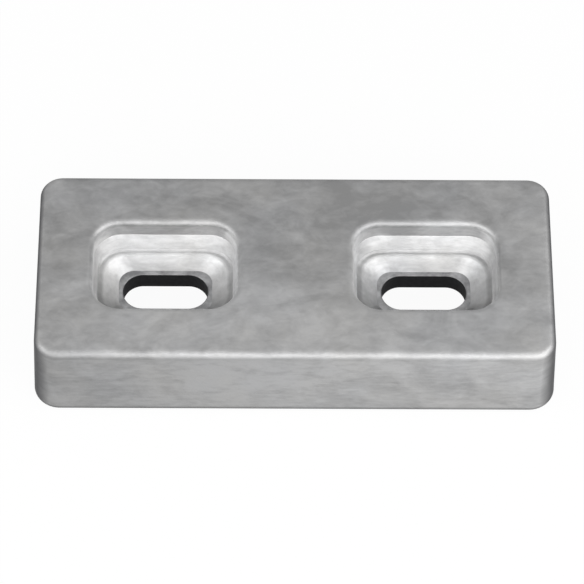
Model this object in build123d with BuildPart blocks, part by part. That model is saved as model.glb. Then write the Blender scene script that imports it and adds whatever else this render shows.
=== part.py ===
"""Sacrificial anode: a zinc block cast around a slotted steel strap.

Millimetres, +X along the block, +Y across it, +Z up.
The origin is the middle of the flat underside.
"""
import os

from build123d import *

os.makedirs("parts", exist_ok=True)

# Zinc block: length, width and corner radius are those of its top face
block_length = 152.4
block_width = 64.0
block_height = 28.6
side_draft = 2.4
corner_radius = 6.5
top_edge_radius = 2.4
base_edge_radius = 1.8

# Bolt slots in the strap, one each side of the middle
slot_width = 12.0
slot_length = 25.5
slot_spacing = 77.2
slot_edge_bevel = 0.3

# Steel strap: a flat bar lying along the block
strap_width = 32.0
strap_thickness = 6.4
strap_end_cover = 10.0

# Stepped pocket over each slot, from the bared strap up to the top face.
# "side" runs across the block and "end" runs along it. The growth is how much
# the corner radius gains for each millimetre that the ends move out.
ledge_side = 1.3
ledge_end = 1.2
floor_corner_radius = 4.5
lower_slope_side = 3.2
lower_slope_end = 4.8
lower_slope_drop = 3.9
tread_side = 1.2
tread_end = 1.4
tread_drop = 0.6
upper_slope_side = 3.0
upper_slope_end = 0.9
upper_slope_drop = 4.0
rim_wall_drop = 6.0
rim_draft = 2.5
rim_edge_radius = 2.0
corner_growth = 0.5
tread_edge_bevel = 0.4

# Plain pocket under each slot, opening on the underside
under_ledge_side = 6.0
under_ledge_end = 5.0
under_corner_radius = 6.0
under_draft = 8.0

# Levels and places that follow from the sizes above
strap_top = block_height - rim_wall_drop - upper_slope_drop - tread_drop - lower_slope_drop
strap_bottom = strap_top - strap_thickness
strap_length = block_length - 2 * strap_end_cover
slot_places = [(-slot_spacing / 2, 0), (slot_spacing / 2, 0)]


def pocket_outlines():
    """Outlines of the stepped pocket, floor first, as (length, width, corner radius, height)."""
    length = slot_length + 2 * ledge_end
    width = slot_width + 2 * ledge_side
    radius = floor_corner_radius
    height = strap_top
    outlines = [(length, width, radius, height)]
    for end, side, rise in (
        (lower_slope_end, lower_slope_side, lower_slope_drop),
        (tread_end, tread_side, tread_drop),
        (upper_slope_end, upper_slope_side, upper_slope_drop),
    ):
        length += 2 * end
        width += 2 * side
        radius += corner_growth * end
        height += rise
        outlines.append((length, width, radius, height))
    return outlines


def opening_edges(face):
    """Edges round the openings in a face, without its outer boundary."""
    return [edge for wire in face.inner_wires() for edge in wire.edges()]


def level_edges(part, height):
    """Edges of a part that lie flat at a height."""
    near = part.edges().filter_by_position(Axis.Z, height - 0.01, height + 0.01)
    return near.filter_by(lambda edge: edge.bounding_box().size.Z < 0.01)


# Steel strap
with BuildPart() as steel_strap:
    with BuildSketch(Plane.XY.offset(strap_bottom)):
        Rectangle(strap_length, strap_width)
        with Locations(slot_places):
            SlotOverall(slot_length, slot_width, mode=Mode.SUBTRACT)
    extrude(amount=strap_thickness)
    chamfer(opening_edges(steel_strap.faces().sort_by(Axis.Z)[-1]), slot_edge_bevel)

steel_strap.part.label = "steel_strap"
export_step(steel_strap.part, "parts/steel_strap.step")

# Zinc block
with BuildPart() as zinc_block:
    with BuildSketch(Plane.XY.offset(block_height)):
        RectangleRounded(block_length, block_width, corner_radius)
    extrude(amount=-block_height, taper=-side_draft)
    fillet(zinc_block.faces().sort_by(Axis.Z)[-1].edges(), top_edge_radius)
    fillet(zinc_block.faces().sort_by(Axis.Z)[0].edges(), base_edge_radius)

    # Stepped pockets: a tread between two slopes, then the upright wall of the rim
    outlines = pocket_outlines()
    for place in slot_places:
        for length, width, radius, height in outlines:
            with BuildSketch(Plane.XY.offset(height)):
                with Locations(place):
                    RectangleRounded(length, width, radius)
        loft(ruled=True, mode=Mode.SUBTRACT)
    rim_length, rim_width, rim_radius, rim_foot = outlines[-1]
    with BuildSketch(Plane.XY.offset(rim_foot)):
        with Locations(slot_places):
            RectangleRounded(rim_length, rim_width, rim_radius)
    extrude(amount=rim_wall_drop, taper=-rim_draft, mode=Mode.SUBTRACT)

    # Plain pockets in the underside
    with BuildSketch(Plane.XY.offset(strap_bottom)):
        with Locations(slot_places):
            RectangleRounded(
                slot_length + 2 * under_ledge_end,
                slot_width + 2 * under_ledge_side,
                under_corner_radius,
            )
    extrude(amount=-strap_bottom, taper=-under_draft, mode=Mode.SUBTRACT)

    # Softened edges of the stepped pockets: both sides of the tread, then the rims
    tread_bevel = min(tread_edge_bevel, 0.45 * tread_end, 0.45 * tread_side)
    for length, width, radius, height in outlines[1:3]:
        chamfer(level_edges(zinc_block, height), tread_bevel)
    fillet(opening_edges(zinc_block.faces().sort_by(Axis.Z)[-1]), rim_edge_radius)

    # Bed of the strap
    with BuildSketch(Plane.XY.offset(strap_bottom)):
        Rectangle(strap_length, strap_width)
    extrude(amount=strap_thickness, mode=Mode.SUBTRACT)

zinc_block.part.label = "zinc_block"
export_step(zinc_block.part, "parts/zinc_block.step")
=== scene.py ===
import math
from collections import namedtuple

import bpy
from mathutils import Matrix, Vector


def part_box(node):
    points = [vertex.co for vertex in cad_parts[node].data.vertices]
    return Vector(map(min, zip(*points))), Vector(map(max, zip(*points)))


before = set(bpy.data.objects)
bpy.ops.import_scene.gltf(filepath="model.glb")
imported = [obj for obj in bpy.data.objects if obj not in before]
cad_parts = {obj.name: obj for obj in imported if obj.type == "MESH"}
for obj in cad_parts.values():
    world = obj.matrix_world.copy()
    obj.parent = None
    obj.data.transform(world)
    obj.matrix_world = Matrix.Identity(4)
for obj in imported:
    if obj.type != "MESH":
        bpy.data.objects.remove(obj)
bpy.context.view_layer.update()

# Places taken from the frame, in metres
BLOCK_LOW, BLOCK_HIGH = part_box("zinc_block")
BLOCK_MIDDLE = (BLOCK_LOW + BLOCK_HIGH) / 2

# Camera: where it aims, and from where
CAMERA_AIM = BLOCK_MIDDLE + Vector((-0.0008, -0.0002, 0.0))
CAMERA_AZIMUTH = math.radians(-0.8)
CAMERA_ELEVATION = math.radians(56.5)
CAMERA_DISTANCE = 1.0435
CAMERA_ROLL = math.radians(0.93)
CAMERA_LENS = 215.2
CAMERA_SENSOR = 36.0

# Floor: it lies a hair under the block, so that the two flat faces don't fall together. The bounce is
# its colour to everything but the camera, and the shares are how much of it is plain, unlit white
FLOOR_SIZE = 6.0
FLOOR_GAP = 0.0001
FLOOR_SEEN = (0.95, 0.95, 0.95)
FLOOR_BOUNCE = (0.5, 0.5, 0.5)
WHITE_SHARES = (("Is Camera Ray", 0.95), ("Is Transmission Ray", 0.95), ("Is Glossy Ray", 0.2))

# Soft lamps, aimed at the block: azimuth (0 in front, 90 at the right) and elevation in degrees,
# distance, width and height in metres, power in watts
Softbox = namedtuple("Softbox", "name azimuth elevation distance width height power")
SOFTBOXES = (
    Softbox("front", 0, 29, 0.9, 0.9, 0.8, 3.5),
    Softbox("left", -62, 26, 0.9, 0.8, 0.7, 2.9),
    Softbox("right", 64, 27, 0.9, 1.0, 0.9, 4.9),
)
ROOM_LIGHT = 0.53

# Noise layers: how each is stretched and where it is taken from, then how fine, deep, rough and
# twisted it is. The marks run fast only with height, so they draw level lines on upright faces
Layer = namedtuple("Layer", "stretch place scale detail rough twist")
DRIFTS = Layer((1.0, 1.2, 1.5), (0.15, 0.07, 0.4), 20, 2.0, 0.5, 0.0)
BLOTCHES = Layer((0.8, 1.2, 1.2), (0.3, 0.1, 0.0), 85, 4.0, 0.6, 0.8)
FLECKS = Layer((0.6, 1.0, 2.0), (0.7, 0.4, 0.0), 340, 3.0, 0.6, 0.4)
MARKS = Layer((0.12, 0.12, 1.0), (0.0, 0.0, 0.0), 1000, 3.0, 0.6, 0.0)
TINTS = Layer((1.0, 1.0, 1.0), (0.2, 0.5, 0.1), 45, 2.0, 0.5, 0.0)
ZINC_GRAIN = Layer((1.0, 1.0, 1.0), (0.0, 0.0, 0.0), 800, 4.0, 0.6, 0.0)
STEEL_PATCHES = Layer((1.0, 1.0, 1.0), (0.4, 0.2, 0.0), 260, 3.0, 0.6, 0.0)
STEEL_GRAIN = Layer((1.0, 1.0, 1.0), (0.0, 0.0, 0.0), 900, 4.0, 0.6, 0.0)

# Cast zinc: its darkest and lightest greys and its two tints, each with the stretch of its noise that
# it is spread over, how far it is bare metal, and how dull its mirror is at a low angle
ZINC_DARK = (0.39, 0.39, 0.39)
ZINC_LIGHT = (0.64, 0.64, 0.64)
GREY_RANGE = (0.37, 0.63)
COOL_TINT = (0.992, 0.997, 1.008)
WARM_TINT = (1.004, 1.0, 0.993)
TINT_RANGE = (0.35, 0.65)
ZINC_METAL = 0.88
LOW_MIRROR = (0.6, 0.6, 0.6)
ZINC_ROUGHNESS = (0.44, 0.58)
ROUGHNESS_RANGE = (0.35, 0.65)

# How much each layer counts in the zinc's grey, its roughness and its waves
DRIFT_SHARE, BLOTCH_SHARE, FLECK_SHARE, MARK_SHARE = 0.28, 0.38, 0.27, 0.07
DULL_SHARE = 0.5
BLOTCH_WAVE, MARK_WAVE = 0.6, 0.15

# Bumps: how deep in metres, and how strong
WAVE_DEPTH, WAVE_STRENGTH = 0.0006, 0.3
GRAIN_DEPTH, ZINC_GRAIN_STRENGTH, STEEL_GRAIN_STRENGTH = 0.0002, 0.25, 0.2

# Painted light falling off from the front: the grey is a little lighter towards the front and darker at
# the back; what is added there, and at the back
FRONT_PAINTED_LIGHT, BACK_PAINTED_SHADE = 0.057, -0.057

# Pockets: painted light, lighter than the rest of the block. The zone ends in the margin inside the
# block's
# walls and in the lip under the top. The painted light is how bright each part is, by its depth below the
# top:
# lower slope, tread, upper slope, then rim wall. Under the rim it falls off towards the front, as painted
# shade.
# The steep sides from the tread up have painted light of their own, and are chalky, with little bare metal
POCKET_MARGIN = (0.0132, 0.0072)
POCKET_LIP = (0.0024, 0.0004)
POCKET_PAINTED_LIGHT = (
    (0.0145, 1.55), (0.0110, 1.55),
    (0.0105, 1.12), (0.0099, 1.12),
    (0.0094, 1.43), (0.0062, 1.43),
    (0.0054, 1.76), (0.0004, 1.76),
)
RIM_DEPTH = (0.0066, 0.0054)
PAINTED_LIGHT_ACROSS = (-0.0085, 0.0090)
PAINTED_LIGHT_AT_FRONT = 0.42
STEEP_DEPTH = (0.0102, 0.0096)
STEEP_PAINTED_LIGHT = 1.5
CHALKY_METAL = 0.4

# Painted light: faces that look to the front are lighter to the right. Each pair is the tone at the left
# and right end, and the turn is how far a face looks to the front, where the tone begins and where it is
# full
WALL_PAINTED_LIGHT = (0.785, 1.105)
SLOPE_PAINTED_LIGHT = (0.912, 1.23)
FRONT_TURN = (-0.35, -0.75)

# The front top edge's highlight gets painted shade, a little darker than the wall: how far down and how
# far back, and its tone
EDGE_DOWN = (0.0028, 0.0018)
EDGE_BACK = (0.0041, 0.0081)
EDGE_PAINTED_SHADE = 0.86

# Painted shade, a dark reflection on the ends, from where the upright corners turn, and along the foot. In
# from the end and up from the foot, in metres, and how far a face looks to the end
PAINTED_SHADE_GREY = (0.10, 0.10, 0.106)
SHADE_COVER = 0.8
SHADE_IN = (0.0193, 0.0133)
SHADE_UP = (0.0009, 0.0026)
SIDE_TURN = (0.38, 0.85)

# Strap: painted shade, near black, on the punched walls, and the dark and bare patches of its flats
PAINTED_SLOT_SHADE = (0.008, 0.008, 0.01)
DARK_SCALE = (0.34, 0.34, 0.348)
BARE_STEEL = (0.60, 0.60, 0.608)
FLAT_TURN = (0.2, 0.8)
PATCH_RANGE = (0.35, 0.65)
STEEL_ROUGHNESS = (0.5, 0.65)
STEEL_GRAIN_RANGE = (0.3, 0.7)

# A tone that changes nothing
UNTOUCHED = (1.0, 1.0, 1.0)


class Finish:
    """A node material while it is wired up."""

    def __init__(self, name):
        self.material = bpy.data.materials.new(name)
        self.material.use_nodes = True
        self.nodes = self.material.node_tree.nodes
        self.links = self.material.node_tree.links
        self.nodes.clear()
        self.output = self.nodes.new("ShaderNodeOutputMaterial")

    def put(self, socket, value):
        """Links a node's output to a socket, or sets the socket to a number or an (r, g, b)."""
        if isinstance(value, bpy.types.NodeSocket):
            self.links.new(value, socket)
        elif isinstance(value, tuple):
            socket.default_value = (*value, 1.0)
        else:
            socket.default_value = value

    def shader(self, kind):
        """A shader on the material's output."""
        node = self.nodes.new(kind)
        self.links.new(node.outputs[0], self.output.inputs["Surface"])
        return node

    def split(self, vector):
        """The x, y and z of a vector."""
        node = self.nodes.new("ShaderNodeSeparateXYZ")
        self.links.new(vector, node.inputs["Vector"])
        return node.outputs["X"], node.outputs["Y"], node.outputs["Z"]

    def noise(self, place, layer):
        """A noise layer's value, about 0.5 in the mean."""
        lay = self.nodes.new("ShaderNodeMapping")
        lay.inputs["Scale"].default_value = layer.stretch
        lay.inputs["Location"].default_value = layer.place
        self.links.new(place, lay.inputs["Vector"])
        node = self.nodes.new("ShaderNodeTexNoise")
        node.inputs["Scale"].default_value = layer.scale
        node.inputs["Detail"].default_value = layer.detail
        node.inputs["Roughness"].default_value = layer.rough
        node.inputs["Distortion"].default_value = layer.twist
        self.links.new(lay.outputs["Vector"], node.inputs["Vector"])
        return node.outputs["Fac"]

    def math(self, way, *values):
        """One step of arithmetic on values or numbers."""
        node = self.nodes.new("ShaderNodeMath")
        node.operation = way
        for socket, value in zip(node.inputs, values):
            self.put(socket, value)
        return node.outputs["Value"]

    def weighed(self, layers):
        """Adds up values, each given as (value, weight)."""
        total = 0.0
        for value, weight in layers:
            total = self.math("MULTIPLY_ADD", value, weight, total)
        return total

    def spread(self, value, start, end, at_start=0.0, at_end=1.0):
        """Maps a value from one range to another, without going past the ends."""
        node = self.nodes.new("ShaderNodeMapRange")
        node.clamp = True
        node.inputs["From Min"].default_value = start
        node.inputs["From Max"].default_value = end
        node.inputs["To Min"].default_value = at_start
        node.inputs["To Max"].default_value = at_end
        self.links.new(value, node.inputs["Value"])
        return node.outputs["Result"]

    def graded(self, value, steps):
        """A number that follows a value, through (value, number) steps in rising order."""
        low, high = steps[0][0], steps[-1][0]
        most = max(number for _, number in steps)
        node = self.nodes.new("ShaderNodeValToRGB")
        marks = node.color_ramp.elements
        while len(marks) < len(steps):
            marks.new(0.5)
        for mark, (at, number) in zip(marks, steps):
            mark.position = (at - low) / (high - low)
            mark.color = (number / most, number / most, number / most, 1.0)
        self.links.new(self.spread(value, low, high), node.inputs["Fac"])
        return self.math("MULTIPLY", node.outputs["Color"], most)

    def blend(self, factor, first, second, way="MIX", capped=False):
        """Mixes two colours, each a socket or an (r, g, b). Capped, the result stays at or under 1."""
        node = self.nodes.new("ShaderNodeMix")
        node.data_type = "RGBA"
        node.blend_type = way
        node.clamp_result = capped
        for socket, value in ((node.inputs[0], factor), (node.inputs[6], first), (node.inputs[7], second)):
            self.put(socket, value)
        return node.outputs[2]

    def tinted(self, colour, by):
        """One colour times another."""
        return self.blend(1.0, colour, by, "MULTIPLY")

    def bump(self, height, depth, strength, under=None):
        """A bump from a height value, laid over another bump."""
        node = self.nodes.new("ShaderNodeBump")
        node.inputs["Distance"].default_value = depth
        node.inputs["Strength"].default_value = strength
        self.links.new(height, node.inputs["Height"])
        if under is not None:
            self.links.new(under, node.inputs["Normal"])
        return node.outputs["Normal"]


def below_top(depths):
    """Heights at two depths below the top face."""
    return [BLOCK_HIGH.z - depth for depth in depths]


# Cast zinc

def oxide_with_painted_falloff(zinc, place, across, blotches, marks):
    """Cloudy grey with faint cool and warm drifts, drawn marks on upright faces and fine flecks, and
    painted light that is lighter towards the front.
    """
    # Painted light: lighter towards the front, darker at the back
    painted_falloff = zinc.spread(across, BLOCK_LOW.y, BLOCK_HIGH.y, FRONT_PAINTED_LIGHT, BACK_PAINTED_SHADE)
    tone = zinc.weighed((
        (zinc.noise(place, DRIFTS), DRIFT_SHARE),
        (blotches, BLOTCH_SHARE),
        (zinc.noise(place, FLECKS), FLECK_SHARE),
        (marks, MARK_SHARE),
        (painted_falloff, 1.0),
    ))
    grey = zinc.blend(zinc.spread(tone, *GREY_RANGE), ZINC_DARK, ZINC_LIGHT)
    tint = zinc.blend(zinc.spread(zinc.noise(place, TINTS), *TINT_RANGE), COOL_TINT, WARM_TINT)
    return zinc.tinted(grey, tint)


def pocket_zone(zinc, along, across, up):
    """How far a spot lies in a pocket."""
    past_end, past_side = [
        zinc.spread(zinc.math("ABSOLUTE", reach), *[wall - margin for margin in POCKET_MARGIN], 1.0, 0.0)
        for reach, wall in ((along, BLOCK_HIGH.x), (across, BLOCK_HIGH.y))
    ]
    under_lip = zinc.spread(up, *below_top(POCKET_LIP), 1.0, 0.0)
    return zinc.math("MULTIPLY", zinc.math("MINIMUM", past_end, past_side), under_lip)


def painted_pocket_light(zinc, across, up, steep):
    """Painted light in a pocket: how bright it is by its height and, under the rim, towards its front."""
    heights = [(BLOCK_HIGH.z - depth, painted_light) for depth, painted_light in POCKET_PAINTED_LIGHT]
    falling = zinc.spread(across, *PAINTED_LIGHT_ACROSS, PAINTED_LIGHT_AT_FRONT, 1.0)
    rim = zinc.spread(up, *below_top(RIM_DEPTH))
    painted_light = zinc.math("MULTIPLY", zinc.graded(up, heights), zinc.math("MAXIMUM", falling, rim))
    return zinc.math("MAXIMUM", painted_light, zinc.math("MULTIPLY", steep, STEEP_PAINTED_LIGHT))


def painted_front_light(zinc, along, across, up, ahead, pocket):
    """Painted light on the faces that look to the front, lighter to the right: outer wall with painted
    shade on its top edge highlight, and pocket slopes.
    """
    ends = (BLOCK_LOW.x, BLOCK_HIGH.x)
    edge_back = [BLOCK_LOW.y + back for back in EDGE_BACK]
    # Painted shade over the highlight on the front top edge
    edge = zinc.math(
        "MAXIMUM",
        zinc.spread(up, *below_top(EDGE_DOWN), 1.0, EDGE_PAINTED_SHADE),
        zinc.spread(across, *edge_back, EDGE_PAINTED_SHADE, 1.0),
    )
    wall = zinc.math("MULTIPLY", zinc.spread(along, *ends, *WALL_PAINTED_LIGHT), edge)
    slope = zinc.spread(along, *ends, *SLOPE_PAINTED_LIGHT)
    front = zinc.spread(ahead, *FRONT_TURN)
    return zinc.blend(front, UNTOUCHED, zinc.blend(pocket, wall, slope))


def painted_shade_zone(zinc, along, up, side):
    """How far a spot is covered by the painted shade on the ends and foot."""
    reach = [BLOCK_HIGH.x - inwards for inwards in SHADE_IN]
    foot = [BLOCK_LOW.z + height for height in SHADE_UP]
    near_end = zinc.spread(zinc.math("ABSOLUTE", along), *reach, 0.0, SHADE_COVER)
    return zinc.math(
        "MAXIMUM", zinc.math("MULTIPLY", near_end, side), zinc.spread(up, *foot, SHADE_COVER, 0.0)
    )


def cast_zinc():
    """Dull cast zinc, with painted light in the pockets and on faces that look to the front, and painted
    shade on its ends and foot.
    """
    zinc = Finish("cast_zinc")
    shader = zinc.shader("ShaderNodeBsdfPrincipled")
    coordinates = zinc.nodes.new("ShaderNodeTexCoord")
    place = coordinates.outputs["Object"]
    along, across, up = zinc.split(place)
    aside, ahead, _ = zinc.split(coordinates.outputs["Normal"])
    blotches = zinc.noise(place, BLOTCHES)
    marks = zinc.noise(place, MARKS)
    grain = zinc.noise(place, ZINC_GRAIN)

    side = zinc.spread(zinc.math("ABSOLUTE", aside), *SIDE_TURN)
    steep = zinc.math("MULTIPLY", side, zinc.spread(up, *below_top(STEEP_DEPTH)))
    pocket = pocket_zone(zinc, along, across, up)
    colour = oxide_with_painted_falloff(zinc, place, across, blotches, marks)
    # Painted light in the pockets, brighter by depth and falling off towards the front
    colour = zinc.tinted(colour, zinc.blend(pocket, UNTOUCHED, painted_pocket_light(zinc, across, up, steep)))
    # Painted light: faces that look to the front are lighter to the right
    colour = zinc.tinted(colour, painted_front_light(zinc, along, across, up, ahead, pocket))
    # Painted shade, dark, on the ends and along the foot
    colour = zinc.blend(painted_shade_zone(zinc, along, up, side), colour, PAINTED_SHADE_GREY, capped=True)
    zinc.put(shader.inputs["Base Color"], colour)

    chalk = zinc.math("MULTIPLY", pocket, steep)
    zinc.put(shader.inputs["Metallic"], zinc.spread(chalk, 0.0, 1.0, ZINC_METAL, CHALKY_METAL))
    zinc.put(shader.inputs["Specular Tint"], LOW_MIRROR)
    dullness = zinc.weighed(((blotches, DULL_SHARE), (grain, 1.0 - DULL_SHARE)))
    zinc.put(shader.inputs["Roughness"], zinc.spread(dullness, *ROUGHNESS_RANGE, *ZINC_ROUGHNESS))
    waves = zinc.bump(
        zinc.weighed(((blotches, BLOTCH_WAVE), (marks, MARK_WAVE))), WAVE_DEPTH, WAVE_STRENGTH
    )
    zinc.put(shader.inputs["Normal"], zinc.bump(grain, GRAIN_DEPTH, ZINC_GRAIN_STRENGTH, waves))
    return zinc.material


# Strap steel

def strap_steel():
    """Dark, dull steel, with near black painted shade on the punched walls of the slots."""
    steel = Finish("strap_steel")
    shader = steel.shader("ShaderNodeBsdfPrincipled")
    coordinates = steel.nodes.new("ShaderNodeTexCoord")
    place = coordinates.outputs["Object"]
    _, _, upwards = steel.split(coordinates.outputs["Normal"])
    grain = steel.noise(place, STEEL_GRAIN)
    flat = steel.spread(steel.math("ABSOLUTE", upwards), *FLAT_TURN)
    patches = steel.spread(steel.noise(place, STEEL_PATCHES), *PATCH_RANGE)
    flats = steel.blend(patches, DARK_SCALE, BARE_STEEL)
    # Painted shade: near black on the punched walls of the slots
    steel.put(shader.inputs["Base Color"], steel.blend(flat, PAINTED_SLOT_SHADE, flats))
    steel.put(shader.inputs["Metallic"], flat)
    steel.put(shader.inputs["Roughness"], steel.spread(grain, *STEEL_GRAIN_RANGE, *STEEL_ROUGHNESS))
    steel.put(shader.inputs["Normal"], steel.bump(grain, GRAIN_DEPTH, STEEL_GRAIN_STRENGTH))
    return steel.material


def dress(node, material):
    """Gives a carried-over node its finish."""
    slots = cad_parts[node].data.materials
    for index in range(len(slots)):
        slots[index] = material


# Stage

def pale_floor():
    """A floor that shows as white to the camera and in metal, and keeps a soft shadow."""
    floor = Finish("pale_floor")
    mix = floor.shader("ShaderNodeMixShader")
    rays = floor.nodes.new("ShaderNodeLightPath")
    lit = floor.nodes.new("ShaderNodeBsdfDiffuse")
    floor.put(lit.inputs["Color"], floor.blend(rays.outputs["Is Camera Ray"], FLOOR_BOUNCE, FLOOR_SEEN))
    white = floor.nodes.new("ShaderNodeEmission")
    white.inputs["Strength"].default_value = 1.0
    shares = floor.weighed([(rays.outputs[kind], share) for kind, share in WHITE_SHARES])
    floor.put(mix.inputs["Fac"], shares)
    floor.links.new(lit.outputs["BSDF"], mix.inputs[1])
    floor.links.new(white.outputs["Emission"], mix.inputs[2])
    return floor.material


def lay_floor():
    """The floor, a hair under the block."""
    bpy.ops.mesh.primitive_plane_add(size=FLOOR_SIZE, location=(0, 0, BLOCK_LOW.z - FLOOR_GAP))
    floor = bpy.context.object
    floor.name = "floor"
    floor.data.materials.append(pale_floor())


def light_room():
    """Even white light from all round."""
    world = bpy.data.worlds.new("room")
    bpy.context.scene.world = world
    world.use_nodes = True
    background = world.node_tree.nodes["Background"]
    background.inputs["Color"].default_value = (1, 1, 1, 1)
    background.inputs["Strength"].default_value = ROOM_LIGHT


def stand(name, thing, aim, away, distance, roll=0.0):
    """Stands a lamp or camera away from what it aims at, looking back at it."""
    holder = bpy.data.objects.new(name, thing)
    bpy.context.scene.collection.objects.link(holder)
    turn = away.to_track_quat("Z", "Y").to_matrix().to_4x4()
    holder.matrix_world = Matrix.Translation(aim + away * distance) @ turn @ Matrix.Rotation(roll, 4, "Z")
    return holder


def direction(azimuth, elevation):
    """The way to a place round the block; azimuth 0 is in front, 90 degrees at the right."""
    level = math.cos(elevation)
    return Vector((math.sin(azimuth) * level, -math.cos(azimuth) * level, math.sin(elevation)))


def place_softbox(box):
    """A soft lamp aimed at the block."""
    lamp = bpy.data.lights.new(box.name, "AREA")
    lamp.shape = "RECTANGLE"
    lamp.size = box.width
    lamp.size_y = box.height
    lamp.energy = box.power
    away = direction(math.radians(box.azimuth), math.radians(box.elevation))
    stand(box.name, lamp, BLOCK_MIDDLE, away, box.distance)


def place_camera():
    """The camera, turned a little about its own axis."""
    camera = bpy.data.cameras.new("camera")
    camera.lens = CAMERA_LENS
    camera.sensor_width = CAMERA_SENSOR
    away = direction(CAMERA_AZIMUTH, CAMERA_ELEVATION)
    bpy.context.scene.camera = stand("camera", camera, CAMERA_AIM, away, CAMERA_DISTANCE, CAMERA_ROLL)


dress("zinc_block", cast_zinc())
dress("steel_strap", strap_steel())
lay_floor()
light_room()
for box in SOFTBOXES:
    place_softbox(box)
place_camera()
bpy.context.scene.view_settings.view_transform = "Standard"
